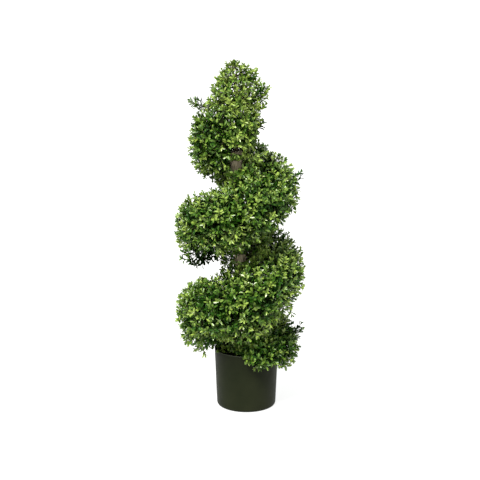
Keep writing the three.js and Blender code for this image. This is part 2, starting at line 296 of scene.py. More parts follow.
def tinted(made, source, stops):
    """Colours the base by a ramp of (place, colour) stops."""
    tree = made.node_tree
    ramp = add_node(tree, "ShaderNodeValToRGB")
    elements = ramp.color_ramp.elements
    while len(elements) < len(stops):
        elements.new(0.5)
    for element, (place, colour) in zip(elements, stops):
        element.position, element.color = place, (*colour, 1)
    tree.links.new(source, ramp.inputs["Fac"])
    tree.links.new(ramp.outputs["Color"], tree.nodes["Principled BSDF"].inputs["Base Color"])


def uneven(made, source, low, high):
    """Lets the roughness wander between two values."""
    tree = made.node_tree
    spread = add_node(tree, "ShaderNodeMapRange", {"To Min": low, "To Max": high})
    tree.links.new(source, spread.inputs["Value"])
    tree.links.new(spread.outputs["Result"], tree.nodes["Principled BSDF"].inputs["Roughness"])


def raised(made, source, distance, strength=1.0):
    """Raises a surface's fine relief by bump."""
    tree = made.node_tree
    bump = add_node(tree, "ShaderNodeBump", {"Distance": distance, "Strength": strength})
    tree.links.new(source, bump.inputs["Height"])
    tree.links.new(bump.outputs["Normal"], tree.nodes["Principled BSDF"].inputs["Normal"])


print("a finish can be tinted, uneven and raised")

# %% Pot and its finishes
pot_plastic = finish_of("matte_pot_plastic", (0.010, 0.012, 0.005), 0.5, 0.08)
tinted(
    pot_plastic,
    noise_on(pot_plastic, 9, 6),
    [(0.3, (0.005, 0.007, 0.002)), (0.7, (0.011, 0.013, 0.005))],
)
uneven(pot_plastic, noise_on(pot_plastic, 60, 3), 0.42, 0.6)
raised(pot_plastic, noise_on(pot_plastic, 900, 2), 0.0002, 0.4)

# A paler lip with more sheen: a painted highlight where the pot's rim catches the light.
pot_lip_highlight = finish_of("pot_lip_painted_highlight", (0.03, 0.034, 0.022), 0.45, 0.25)
uneven(pot_lip_highlight, noise_on(pot_lip_highlight, 80, 3), 0.35, 0.55)

pot = plain_object("nursery_pot", pot_mesh, pot_plastic, pot_lip_highlight)
# The faces at the top of the rim take the painted highlight.
for face in pot_mesh.polygons:
    face.material_index = int(face.center.z > (POT["height"] - POT["wall"] / 2) * MM)
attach(pot, "root")
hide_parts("pot")
print("pot finishes:", [one.name for one in pot_mesh.materials])

# %% [markdown]
# ## Filling
# The pot is filled nearly to its rim with something dark and heavy that holds the pole upright. Only a
# black strip of it shows between the rim and the lowest leaves. Its top is made lumpy with real relief, so
# that it doesn't read as a lid.

# %% Filling
FILLING = dict(top=160, crown=4, gap=0.3)
FILLING_SIDES = 96
LUMP = 2.5 * MM
MIDDLE_RINGS = (24, 18, 12, 6, 0)  # radii in millimetres under the pole


def filling_profile(top, crown, gap):
    """From the middle of the underside, up the pot's wall, and back over a crowned top."""
    wall, base, edge, foot = (POT[key] for key in ("wall", "base", "edge", "foot"))
    corner = edge + wall
    slope = (POT["rim"] - base) / (POT["height"] - corner)
    inside = lambda z: base - wall + slope * (z - corner) - 4 * gap
    underside = [(0, wall + gap), (foot - 4 * gap, wall + gap)]
    side_top = (inside(top), top - crown)
    crowned = arc(side_top, (base / 2, top), (MIDDLE_RINGS[0], top), 14)[1:]
    middle = [(radius, top) for radius in MIDDLE_RINGS[1:]]
    return np.concatenate([underside, [(inside(corner), corner), side_top], crowned, middle])


filling_mesh = turned("pot_filling_top", filling_profile(**FILLING) * MM, FILLING_SIDES)
rng = np.random.default_rng(7)
for vertex in filling_mesh.vertices:
    if vertex.co.z > (FILLING["top"] - FILLING["crown"] + 0.5) * MM:
        vertex.co.z -= LUMP * rng.random()

dark_filling = finish_of("dark_filling", (0.008, 0.007, 0.006), 0.95, 0.2)
tinted(
    dark_filling,
    noise_on(dark_filling, 120, 5),
    [(0.3, (0.004, 0.004, 0.003)), (0.75, (0.018, 0.014, 0.010))],
)
raised(dark_filling, noise_on(dark_filling, 260, 5), 0.002)
filling = plain_object("pot_filling_top", filling_mesh, dark_filling)
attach(filling, "root")
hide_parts("pot_filling")
print("filling:", len(filling.data.polygons), "faces")

# %% [markdown]
# ## The lean
# The plant isn't quite upright: everything on it drifts a little to the left, most of it low down. Each
# piece is first shaped round an upright axis and then moved aside by one rule, so limbs and leaves keep
# together.

# %% Lean
DRIFT, LEAN_HEIGHT = 31 * MM, 740 * MM
SOIL = FILLING["top"] * MM


def lean_at(z):
    """How far the plant has drifted aside at a height."""
    share = np.clip((z - SOIL) / LEAN_HEIGHT, 0, 1)
    return -DRIFT * np.sin(share * math.pi / 2)


def leaned(points):
    """Points of the upright plant, moved to where they stand on the leaning one."""
    points = np.array(points, float)
    points[..., 0] += lean_at(points[..., 2])
    return points


print("drift at the tip:", round(float(lean_at(1.067)), 4), "m")

# %% [markdown]
# ## Geometry Nodes helpers
# Bark relief, boughs, twigs and leaves are all shapes that repeat or that follow a path. Each gets a small
# node tree whose sizes are named inputs and which ends by making its instances real. The last helper below
# runs a tree on an object once, keeps the result as a plain mesh and throws the modifier away, because only
# plain meshes leave this file.

# %% Helpers that make and run a node tree
CARRIED = ("thickness", "leaf_axis", "leaf_face", "leaf_size")  # values that a mesh carries to its tree


def new_tree(name, **inputs):
    """A geometry node tree with named inputs, and the sockets of its group input and output."""
    tree = bpy.data.node_groups.new(name, "GeometryNodeTree")
    tree.interface.new_socket("Geometry", in_out="INPUT", socket_type="NodeSocketGeometry")
    for socket, kind in inputs.items():
        tree.interface.new_socket(socket, in_out="INPUT", socket_type="NodeSocket" + kind)
    tree.interface.new_socket("Geometry", in_out="OUTPUT", socket_type="NodeSocketGeometry")
    return tree, tree.nodes.new("NodeGroupInput").outputs, tree.nodes.new("NodeGroupOutput").inputs


def named_value(tree, name, kind):
    """The values that a mesh carries under a name, as a node's output."""
    node = add_node(tree, "GeometryNodeInputNamedAttribute", {"Name": name}, data_type=kind)
    return node.outputs["Attribute"]


def chain(tree, *sockets):
    """Links sockets in pairs: from, to, from, to."""
    for source, target in zip(sockets[::2], sockets[1::2]):
        tree.links.new(source, target)


def end_tree(tree, given, geometry, result):
    """Ends a tree in Realize Instances and Set Material, with the finish that the tree is given."""
    realize = add_node(tree, "GeometryNodeRealizeInstances")
    paint = add_node(tree, "GeometryNodeSetMaterial")
    chain(
        tree,
        geometry, realize.inputs["Geometry"],
        realize.outputs["Geometry"], paint.inputs["Geometry"],
        given["Finish"], paint.inputs["Material"],
        paint.outputs["Geometry"], result["Geometry"],
    )


def run_tree(name, mesh, tree, **values):
    """A plain object that holds what a tree makes of a mesh."""
    start = plain_object(name + "_start", mesh)
    modifier = start.modifiers.new(tree.name, "NODES")
    modifier.node_group = tree
    for item in tree.interface.items_tree:
        if item.in_out == "INPUT" and item.name in values:
            modifier[item.identifier] = values[item.name]
    depsgraph = bpy.context.evaluated_depsgraph_get()
    made = bpy.data.meshes.new_from_object(start.evaluated_get(depsgraph), depsgraph=depsgraph)
    made.name = name
    bpy.data.objects.remove(start)
    bpy.data.meshes.remove(mesh)
    for attribute in [one.name for one in made.attributes if one.name in CARRIED]:
        made.attributes.remove(made.attributes[attribute])
    return plain_object(name, made)


print("values that a mesh carries to its tree:", CARRIED)

# %% [markdown]
# ## Pole
# The pole is a straight length of real wood with its bark on: long shallow furrows, a few knots and a
# sawn top. Bump alone would leave its outline as smooth as a pipe, so a node tree pushes the surface in and
# out by noise that is stretched along the pole.

# %% Pole profile
POLE = dict(top=792, foot_radius=19.5, top_radius=17.5)
POLE_SIDES, POLE_RINGS = 72, 150


def pole_radius(z):
    """The pole's radius at a height, without its bark's relief."""
    share = (z - SOIL) / (POLE["top"] * MM - SOIL)
    return (POLE["foot_radius"] + share * (POLE["top_radius"] - POLE["foot_radius"])) * MM


def pole_profile():
    """Down at the filling's top, up the side, over a worn edge and across the sawn top."""
    foot, top = SOIL + 0.3 * MM, POLE["top"] * MM
    height = np.linspace(foot, top - 1.2 * MM, POLE_RINGS)
    side = np.stack([pole_radius(height), height], -1)
    rim = pole_radius(top)
    across = [(rim - 0.4 * MM, top - 0.4 * MM), (rim - 1.2 * MM, top), (rim * 0.7, top), (rim * 0.35, top)]
    return np.concatenate([[(0, foot)], side, across, [(0, top)]])


print("points of the pole's profile:", len(pole_profile()))

# %% [markdown]
# ## Bark relief
# The tree below adds two noises, one stretched into furrows and one round for knots, takes their middle
# value away, and moves each point along its normal by what is left.

# %% Bark relief tree
relief_tree, given, result = new_tree(
    "bark_relief", Depth="Float", Furrows="Float", Knots="Float", Finish="Material"
)
place = add_node(relief_tree, "GeometryNodeInputPosition")
long_way = add_node(relief_tree, "ShaderNodeVectorMath", {1: (1.0, 1.0, 0.16)}, operation="MULTIPLY")
furrows = add_node(relief_tree, "ShaderNodeTexNoise", {"Detail": 3.0})
knots = add_node(relief_tree, "ShaderNodeTexNoise", {"Detail": 1.0})
both = add_node(relief_tree, "ShaderNodeMath", operation="ADD")
middled = add_node(relief_tree, "ShaderNodeMath", {1: 1.15}, operation="SUBTRACT")
deep = add_node(relief_tree, "ShaderNodeMath", operation="MULTIPLY")
outward = add_node(relief_tree, "GeometryNodeInputNormal")
push = add_node(relief_tree, "ShaderNodeVectorMath", operation="SCALE")
moved = add_node(relief_tree, "GeometryNodeSetPosition")
chain(
    relief_tree,
    place.outputs[0], long_way.inputs[0],
    long_way.outputs[0], furrows.inputs["Vector"],
    given["Furrows"], furrows.inputs["Scale"],
    place.outputs[0], knots.inputs["Vector"],
    given["Knots"], knots.inputs["Scale"],
    furrows.outputs["Fac"], both.inputs[0],
    knots.outputs["Fac"], both.inputs[1],
    both.outputs[0], middled.inputs[0],
    middled.outputs[0], deep.inputs[0],
    given["Depth"], deep.inputs[1],
    outward.outputs[0], push.inputs[0],
    deep.outputs[0], push.inputs["Scale"],
    push.outputs[0], moved.inputs["Offset"],
    given["Geometry"], moved.inputs["Geometry"],
)
end_tree(relief_tree, given, moved.outputs["Geometry"], result)
print("nodes of the relief tree:", len(relief_tree.nodes))

# %% [markdown]
# ## Bark and sawn wood
# The pole's bark has weathered to a pale grey-brown and its sawn top is paler still. Boughs and the thin
# leader stand in the shade of the leaves and are dark. The grain is noise stretched along the pole, because a
# flat image wrapped round it would show a seam.

# %% Bark and wood finishes
bark = finish_of("grey_brown_bark", (0.19, 0.14, 0.11), 0.85, 0.3)
tinted(
    bark,
    noise_on(bark, 260, 6, (1, 1, 0.14)),
    [(0.32, (0.2, 0.155, 0.1)), (0.5, (0.46, 0.38, 0.25)), (0.72, (0.68, 0.58, 0.42))],
)
raised(bark, noise_on(bark, 520, 5, (1, 1, 0.2)), 0.0012)
bough_bark = finish_of("dark_bough_bark", (0.1, 0.075, 0.05), 0.85, 0.3)
tinted(bough_bark, noise_on(bough_bark, 260, 5), [(0.35, (0.05, 0.037, 0.022)), (0.7, (0.15, 0.115, 0.075))])
raised(bough_bark, noise_on(bough_bark, 520, 4), 0.001)
sawn = finish_of("sawn_end", (0.42, 0.34, 0.24), 0.8, 0.3)
tinted(sawn, noise_on(sawn, 300, 3), [(0.3, (0.46, 0.4, 0.29)), (0.7, (0.62, 0.55, 0.42))])
raised(sawn, noise_on(sawn, 700, 3), 0.0006)
print("wood finishes:", bark.name, bough_bark.name, sawn.name)

# %% Pole
def lean_mesh(mesh):
    """Moves every point of an upright mesh to where it stands on the leaning plant."""
    points = np.empty(len(mesh.vertices) * 3)
    mesh.vertices.foreach_get("co", points)
    mesh.vertices.foreach_set("co", leaned(points.reshape(-1, 3)).ravel())
    mesh.update()


pole = run_tree(
    "pole_with_bark", turned("pole_start", pole_profile(), POLE_SIDES), relief_tree,
    Depth=3.2 * MM, Furrows=240.0, Knots=32.0, Finish=bark,
)
pole.data.materials.append(sawn)
for face in pole.data.polygons:
    face.material_index = int(face.normal.z > 0.8 and face.center.z > POLE["top"] * MM - 3 * MM)
lean_mesh(pole.data)
crease(pole.data, 50)
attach(pole, "root")
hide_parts("trunk")
print("pole:", len(pole.data.polygons), "faces")

# %% [markdown]
# ## The band's rule
# The foliage is one band that winds up round the pole. Its height, reach and depth at each turn come from a
# few keys, and a smooth curve runs through them. The frame's solids follow the same rule, so what grows here
# ends where they end. A point of the band is named by its turn, by the angle round the band's own section,
# and by its share of the way out from the section's middle.

# %% Keys of the band
FIRST_TURN, LAST_TURN = -0.28, -0.28 + 22 / 6
HEIGHT_TURNS = (-0.3, 0, 0.5, 0.75, 1, 1.5, 2, 2.5, 3, 3.4)
RISE = list(zip(HEIGHT_TURNS, (188, 202, 288, 354, 431, 557, 684, 816, 874, 912)))
REACH = list(zip((-0.3, 0, 0.5, 1, 2, 2.5, 3, 3.4), (152, 175, 214, 202, 193, 146, 73, 74)))
DEPTH = list(zip(HEIGHT_TURNS, (60, 91, 124, 114, 102, 112, 96, 113, 76, 30)))


def along(keys, turn):
    """Values in metres on a smooth curve through (turn, millimetres) keys."""
    turns, values = np.array(keys, float).T
    low = np.maximum(np.arange(len(turns)) - 1, 0)
    high = np.minimum(np.arange(len(turns)) + 1, len(turns) - 1)
    slopes = (values[high] - values[low]) / (turns[high] - turns[low])
    i = np.clip(np.searchsorted(turns, turn) - 1, 0, len(turns) - 2)
    span = turns[i + 1] - turns[i]
    u = np.clip((turn - turns[i]) / span, 0, 1)
    ends = values[i] * (1 + 2 * u) * (1 - u) ** 2 + values[i + 1] * u * u * (3 - 2 * u)
    return (ends + span * (slopes[i] * u * (1 - u) ** 2 - slopes[i + 1] * u * u * (1 - u))) * MM


print("the band climbs from", along(RISE, FIRST_TURN).round(3), "to", along(RISE, LAST_TURN).round(3), "m")

# %% [markdown]
# ## The band's section
# Cut across, the band is a rounded square outside and fuller and squarer towards the pole, so that it closes
# against it. Powers of sine and cosine give such an outline, and one number sets how square it is. At its two
# ends the band rounds off.

# %% The band's section
ROUND_END, SMALLEST_END = 0.08, 0.3  # in turns, and as a share of the full section
BAND_INNER = 12  # millimetres from the axis
SQUARENESS = 0.87
INNER_SQUARENESS, INNER_SWELL = 0.42, 0.3


def band(turn):
    """The radius and height of the section's middle, and half its width and height."""
    reach, inner = along(REACH, turn), BAND_INNER * MM
    to_end = np.minimum(np.minimum(turn - FIRST_TURN, LAST_TURN - turn), ROUND_END) / ROUND_END
    full = np.maximum(SMALLEST_END, np.sqrt(np.maximum(0, 1 - (1 - to_end) ** 2)))
    return (reach + inner) / 2, along(RISE, turn), full * (reach - inner) / 2, full * along(DEPTH, turn)


def powered(x, power):
    """A power that keeps the sign."""
    return np.sign(x) * np.abs(x) ** power


def section(around):
    """The band's own outline, one unit wide and high to either side: round outside and square at the pole."""
    inner = np.clip(-np.cos(around), 0, 1)
    power = SQUARENESS + (INNER_SQUARENESS - SQUARENESS) * inner
    return powered(np.cos(around), SQUARENESS), (1 + INNER_SWELL * inner) * powered(np.sin(around), power)


def in_band(turn, around, share):
    """Points of the band round an upright axis."""
    radius, height, half_width, half_height = band(turn)
    across, rise = section(around)
    out, up = radius + share * half_width * across, height + share * half_height * rise
    angle = turn * math.tau
    return np.stack([out * np.cos(angle), out * np.sin(angle), up], -1)


print("the band's middle at turn 2:", np.round(in_band(np.array([2.0]), 0, 0)[0], 3))

# %% [markdown]
# ## The tuft
# The band ends in a loose tuft at the tip. It is blunter than a cone, so its radius follows a power of the
# distance from the top.

# %% The tuft's rule
TUFT = dict(base=932 * MM, top=1067 * MM, radius=96 * MM, shift=9 * MM, blunt=0.62)


def in_tuft(turn, rise, share):
    """Points of the tuft round an upright axis, where rise is 0 at its base and 1 at its top."""
    z = TUFT["base"] + rise * (TUFT["top"] - TUFT["base"])
    taper = np.clip(1 - rise, 0, 1)
    out = share * TUFT["radius"] * taper ** TUFT["blunt"]
    angle = turn * math.tau
    return np.stack([out * np.cos(angle) - TUFT["shift"] * taper, out * np.sin(angle), z], -1)


print("the tuft is", round(TUFT["top"] - TUFT["base"], 3), "m high")

# %% [markdown]
# ## Where sprigs end
# Sprigs stand all over the band at an even spacing. Throwing points at random and keeping those that are a
# spacing apart from all kept before gives that even but irregular look. The slope of the rule itself tells
# which way is out.

# %% Helpers that spread points over the foliage
def unit(vectors):
    """Vectors of length one that point the same way."""
    return vectors / np.maximum(np.linalg.norm(vectors, axis=-1, keepdims=True), 1e-12)


def spread(rule, ranges, spacing, seed, tries=60000):
    """Random (a, b) places of a rule whose outline points keep a spacing apart, with the way out there."""
    random = np.random.default_rng(seed)
    a, b = (random.uniform(low, high, tries) for low, high in ranges)
    step = 1e-4
    here = rule(a, b, 1.0)
    facing = np.cross(rule(a + step, b, 1.0) - here, rule(a, b + step, 1.0) - here)
    # A place is tried more often where a step of the rule covers more of the outline.
    area = np.linalg.norm(facing, axis=-1)
    tried = np.flatnonzero(random.random(tries) < area / np.quantile(area, 0.98))
    facing = unit(facing)
    inward = np.sum(facing * (here - rule(a, b, 0.0)), -1) < 0
    facing[inward] *= -1
    # Kept points are filed by cells of one spacing, so only the cells around a new one are searched.
    cells, kept = {}, []
    near = [(x, y, z) for x in (-1, 0, 1) for y in (-1, 0, 1) for z in (-1, 0, 1)]
    for i in tried:
        column, row, level = np.floor(here[i] / spacing).astype(int)
        others = [o for x, y, z in near for o in cells.get((column + x, row + y, level + z), ())]
        if others and np.min(np.sum((here[others] - here[i]) ** 2, -1)) < spacing**2:
            continue
        cells.setdefault((column, row, level), []).append(i)
        kept.append(i)
    return a[kept], b[kept], facing[kept]


BAND_RANGES = ((FIRST_TURN, LAST_TURN), (0, math.tau))
TUFT_RANGES = ((0, 1), (0.04, 1))
SPACINGS = (20.4 * MM, 25 * MM, 38 * MM)  # on the outline, and for two layers under it
TUFT_SPACING = 20 * MM
layers = [spread(in_band, BAND_RANGES, spacing, seed) for seed, spacing in enumerate(SPACINGS, 1)]
tuft_turn, tuft_rise, tuft_out = spread(in_tuft, TUFT_RANGES, TUFT_SPACING, 4, 30000)
print("sprig ends by layer:", [len(layer[0]) for layer in layers], "on the tuft:", len(tuft_turn))

# %% [markdown]
# ## Sprigs
# A sprig is the leafy end of a twig. Each one gets an end, the way it points, a region of the plant, how
# dark it is and whether it is loose. What is random about them comes from one seeded generator, so the plant
# grows the same each time.

# %% Regions and random draws
REGIONS = ("lower", "middle", "upper", "top")
UP = np.array([0, 0, 1.0])
random = np.random.default_rng(11)


def between(low, high, count):
    """Random numbers between two values."""
    return random.uniform(low, high, count)


def region_of(turn):
    """The region that a turn of the band lies in, by number."""
    return np.clip(np.floor(turn - FIRST_TURN), 0, 3).astype(int)


print("regions:", REGIONS, "at turns 0, 1, 2 and 3:", region_of(np.arange(4)))

# %% [markdown]
# ## Where the band isn't even
# No clipped plant is quite even. Under the left side of the middle turn the sprigs are few and hang free.
# The first turn hangs low over the pot on both sides of the strip of filling that shows. A few corners are
# clipped rounder than the rest. Each of these is a test on the turn and on the angle round the section, so
# each can be changed by itself.

# %% Uneven places
def wrapped(angle):
    """An angle from half a turn below 0 to half a turn above it."""
    return (angle + math.pi) % math.tau - math.pi


def near_underside(around, degrees):
    """Whether angles round the section are within some degrees of its lowest point."""
    return np.abs(wrapped(around + math.pi / 2)) < math.radians(degrees)


def sparse_under_left(turn, around):
    """Where the middle turn's underside has few sprigs."""
    return (turn > 1.22) & (turn < 1.66) & near_underside(around, 48)


def hanging_low(turn, around):
    """Where the first turn's underside hangs low."""
    sides = ((turn > 0.46) & (turn < 0.61)) | ((turn > 0.72) & (turn < 0.94))
    return sides & near_underside(around, 50)


# Corners that are clipped rounder: from and to which turn, the corner's middle and half its width in degrees
# round the section, and how much share its sprigs lose.
ROUNDED = [
    (1.86, 2.16, 62, 34, 0.1),
    (-0.14, 0.16, 62, 34, 0.13),
    (-0.28, 0.02, -90, 50, 0.2),
    (0.61, 0.71, -90, 55, 0.12),
]


def clipped_rounder(turn, around):
    """How much share the sprigs of the rounder corners lose."""
    less = np.zeros(len(turn))
    for low, high, middle, half, loss in ROUNDED:
        near = np.abs(wrapped(around - math.radians(middle))) < math.radians(half)
        less = np.where((turn > low) & (turn < high) & near, loss, less)
    return less


print("corners that are clipped rounder:", len(ROUNDED))

# %% [markdown]
# ## Sprigs on the band
# Most sprigs end just inside the band's outline, and a few loose ones reach the outline itself, which gives
# the clipped shape its soft edge. Two thinner layers under them fill the depth that shows in between. On the
# side towards the pole many are left out, because nobody sees them, and so are some at the top, which is
# looser than the rest and lets light through.

# %% Sprigs on the band
LAYER_SHARES = ((0.86, 0.96), (0.68, 0.85), (0.35, 0.52))
LOOSE_SHARES, LOOSE_CHANCE = (0.98, 1.03), 0.14
HANGING_SHARES, HANGING_CHANCE = (0.06, 0.18), 0.6
SPARSE_DEPTH = 0.1  # the share by which the sprigs of the sparse place end further in
POLE_SIDE = 35  # degrees round the section
LOOSE_TOP = 2.6  # the turn where the looser top starts
# The chances that a sprig is left out, by layer: in the sparse place, towards the pole and at the top.
SPARSE_LOSS, POLE_SIDE_LOSS, TOP_LOSS = (0.35, 0.8, 1), (0.1, 0.4, 0.5), (0, 0.1, 0.3)


def sprigs_on_band(layer, turn, around, out):
    """A layer's sprigs: their ends, the way they point, region, how dark they are and which are loose."""
    count = len(turn)
    loose = (random.random(count) < LOOSE_CHANCE) & (layer == 0)
    share = np.where(loose, between(*LOOSE_SHARES, count), between(*LAYER_SHARES[layer], count))
    sparse = sparse_under_left(turn, around)
    share = np.where(sparse & ~loose, share - SPARSE_DEPTH, share)
    hangs = hanging_low(turn, around) & (layer == 0) & (random.random(count) < HANGING_CHANCE)
    share = np.where(hangs, share + between(*HANGING_SHARES, count), share)
    share = share - clipped_rounder(turn, around)
    pole_side = np.abs(wrapped(around - math.pi)) < math.radians(POLE_SIDE)
    chance = random.random(count)
    left_out = sparse & (chance < SPARSE_LOSS[layer])
    left_out |= pole_side & (chance < POLE_SIDE_LOSS[layer])
    left_out |= (turn > LOOSE_TOP) & (chance < TOP_LOSS[layer])
    end = in_band(turn, around, share)
    stay = ~left_out
    # Sprigs of the sparse place are dealt two greens darker, painted shade for the underside they hang under.
    return end[stay], out[stay], region_of(turn)[stay], np.where(sparse, 2, 0)[stay], loose[stay]


groups = [sprigs_on_band(number, *layer) for number, layer in enumerate(layers)]
print("sprigs on the band, by layer:", [len(group[0]) for group in groups])

# %% [markdown]
# ## Sprigs on the tuft
# The tuft grows like the band, in two layers, and more of its sprigs are loose, which makes the tip feathery.

# %% Sprigs on the tuft
TUFT_LOOSE_CHANCE, TUFT_LOSS = 0.25, 0.1
OUTER_TUFT, INNER_TUFT = (0.78, 0.95), (0.45, 0.7)  # shares of the way out


def sprigs_on_tuft(turn, rise, out, low, high, some_loose):
    """The same for the tuft, with most ends between two shares."""
    count = len(turn)
    loose = (random.random(count) < TUFT_LOOSE_CHANCE) & some_loose
    share = np.where(loose, between(1.0, 1.1, count), between(low, high, count))
    stay = random.random(count) > TUFT_LOSS
    end = in_tuft(turn, rise, share)
    return end[stay], out[stay], np.full(count, 3)[stay], np.zeros(count, int)[stay], loose[stay]


groups.append(sprigs_on_tuft(tuft_turn, tuft_rise, tuft_out, *OUTER_TUFT, True))
inner_tuft = spread(in_tuft, ((0, 1), (0.04, 0.95)), 25 * MM, 9, 20000)
groups.append(sprigs_on_tuft(*inner_tuft, *INNER_TUFT, False))
print("sprigs on the tuft:", [len(group[0]) for group in groups[-2:]])

# %% [markdown]
# ## Sprigs set one by one
# No rule gives a plant's accidents, so some sprigs are set one by one. Stray shoots, in threes, reach past
# the clipped outline. Single sprigs close in round the openings in front of the pole, hang over the pot's
# mouth and fill two of the notches between the turns.

# %% Sprigs set one by one
# Each row says where a shoot ends in millimetres round the upright axis, its region and how dark it is.
STRAYS = [
    (-12, -6, 1060, 3, -1), (22, 4, 1048, 3, 0), (50, -8, 1028, 3, 1), (-38, 5, 1030, 3, 0),
    (92, 6, 984, 3, 2), (-138, -4, 948, 3, 2), (-126, 8, 934, 3, 2), (72, -12, 902, 3, 2),
    (80, 8, 884, 3, 2), (-72, 12, 987, 3, 1), (-124, -15, 896, 3, 2), (70, 14, 925, 3, 2),
    (-56, -10, 1008, 3, 1), (66, -4, 1004, 3, 1), (-202, 4, 338, 0, 1), (-205, -4, 286, 0, 1),
    (188, -4, 432, 1, 1), (178, 5, 246, 0, 1), (-170, -12, 486, 2, 2), (-156, -30, 474, 2, 2),
    (-136, -10, 466, 2, 2), (-128, 10, 458, 1, 2), (192, -6, 726, 2, 1), (92, 2, 990, 3, 1),
    (44, 5, 1010, 3, 1), (36, -6, 1042, 3, 0), (60, -6, 1016, 3, 1), (-28, 0, 1050, 3, 0),
    (78, 0, 992, 3, 1), (146, -30, 172, 0, 0), (132, -42, 162, 0, 0), (120, -60, 156, 0, 0),
    (-36, -4, 1018, 3, 0), (56, 8, 1032, 3, 1), (86, -8, 962, 3, 1), (88, 6, 944, 3, 1),
]
SINGLES = [
    (-14, -46, 731, 2, 0), (2, -50, 732, 2, 1), (15, -42, 730, 2, 0), (-4, -34, 729, 2, 1),
    (10, -62, 735, 2, 0), (-17, -64, 735, 2, 1), (26, -50, 748, 2, 1), (-27, -46, 745, 2, 1),
    (-12, -60, 780, 3, 0), (4, -66, 782, 3, 0), (14, -56, 779, 3, 1), (-4, -44, 775, 3, 1),
    (22, -62, 772, 3, 1), (-24, -58, 766, 3, 1), (-10, -40, 491, 1, 1), (4, -46, 494, 1, 1),
    (15, -38, 490, 1, 1), (-14, -52, 482, 1, 1), (-14, -48, 466, 1, 1), (-4, -42, 449, 1, 1),
    (6, -46, 450, 1, 1), (16, -40, 452, 1, 1), (26, -44, 462, 1, 1), (24, -40, 478, 1, 1),
    (40, -48, 722, 2, 0), (56, -42, 716, 2, 0), (50, -52, 740, 2, 0), (66, -34, 736, 2, 0),
    (38, -40, 754, 2, 0), (40, -110, 250, 0, 0), (55, -106, 240, 0, 0), (30, -116, 240, 0, 0),
    (62, -96, 255, 0, 0), (48, -120, 235, 0, 0), (72, -100, 245, 0, 0), (35, -100, 262, 0, 0),
    (80, -86, 255, 0, 0), (58, -118, 262, 0, 0), (20, -118, 228, 0, 0), (8, -124, 238, 0, 0),
    (30, -126, 250, 0, 0), (46, -128, 262, 0, 0), (66, -112, 270, 0, 0), (14, -118, 252, 0, 0),
    (90, -80, 242, 0, 0), (-25, -76, 207, 0, 1), (-17, -81, 202, 0, 1), (-34, -71, 212, 0, 0),
    (-8, -85, 202, 0, 1), (-8, -52, 770, 3, 0), (10, -50, 772, 3, 0), (0, -58, 786, 3, 0),
    (-16, -50, 784, 3, 1), (16, -62, 788, 3, 0), (0, -92, 206, 0, 0), (8, -98, 200, 0, 0),
    (-10, -90, 214, 0, 0), (14, -90, 212, 0, 0), (72, -46, 712, 2, 0), (60, -28, 754, 2, 0),
    (46, -32, 768, 3, 0), (34, -58, 736, 2, 0), (80, -38, 724, 2, 0),
]
STRAY_COPIES, STRAY_SPREAD = 3, 7


def at_places(rows, copies, apart):
    """Sprigs at named places, pointing away from the pole, with copies a little apart from them."""
    rows = np.repeat(np.array(rows, float), copies, axis=0)
    end = (rows[:, :3] + apart * random.normal(size=(len(rows), 3))) * MM
    region, dark = rows[:, 3:].T.astype(int)
    return end, unit(end * [1, 1, 0]) * 0.8 + UP * 0.2, region, dark, np.full(len(end), True)


groups.append(at_places(STRAYS, STRAY_COPIES, STRAY_SPREAD))
groups.append(at_places(SINGLES, 1, 0))
singles_group = len(groups) - 1
print("stray shoots:", len(STRAYS), "single sprigs:", len(SINGLES))

# %% [markdown]
# ## Sprigs close round the pole
# Short sprigs stand all along the pole in a sleeve. They close the view into the notches between the turns,
# most of all at the front right. Those that would stand inside the band aren't needed there.

# %% Sprigs close round the pole
SLEEVE = dict(low=176 * MM, high=905 * MM, wide=74 * MM, narrow=62 * MM, fuller=0.5, towards=-0.7)
SLEEVE_SPACING = 20 * MM
CLEAR_OF_BAND = 0.72  # the share of the band's half height at which it counts as near
REGION_START, REGION_HEIGHT = 190 * MM, 225 * MM


def in_sleeve(turn, rise, share):
    """Points round the pole, where rise is 0 above the pot and 1 at the top of the pole's sprigs."""
    angle = turn * math.tau
    fuller = 1 + SLEEVE["fuller"] * np.clip(np.cos(angle - SLEEVE["towards"]), 0, 1)
    out = share * fuller * (SLEEVE["wide"] + rise * (SLEEVE["narrow"] - SLEEVE["wide"]))
    height = SLEEVE["low"] + rise * (SLEEVE["high"] - SLEEVE["low"])
    return np.stack([out * np.cos(angle), out * np.sin(angle), height], -1)


def sprigs_in_sleeve(turn, rise, out):
    """Sprigs of the sleeve that aren't inside the band."""
    end = in_sleeve(turn, rise, between(0.75, 1.1, len(turn)))
    apart = np.full(len(turn), np.inf)
    for whole in range(-1, 5):
        at = turn + whole
        level = np.where((at > FIRST_TURN) & (at < LAST_TURN), along(RISE, at), np.inf)
        apart = np.minimum(apart, np.abs(end[:, 2] - level) / along(DEPTH, at))
    stay = apart > CLEAR_OF_BAND
    region = np.clip((end[:, 2] - REGION_START) / REGION_HEIGHT, 0, 3).astype(int)
    count = stay.sum()
    return end[stay], out[stay], region[stay], np.full(count, 0), np.full(count, False)


groups.append(sprigs_in_sleeve(*spread(in_sleeve, ((0, 1), (0, 1)), SLEEVE_SPACING, 8)))
sleeve_group = len(groups) - 1
print("sprigs of the sleeve:", len(groups[sleeve_group][0]))

# %% [markdown]
# ## All sprigs together
# Sprigs lean outwards and a little up, as growth does, more so at the top, and each wanders from that a bit.

# %% All sprigs together
LIFT, TOP_LIFT, WANDER = 0.65, 1.6, 0.5

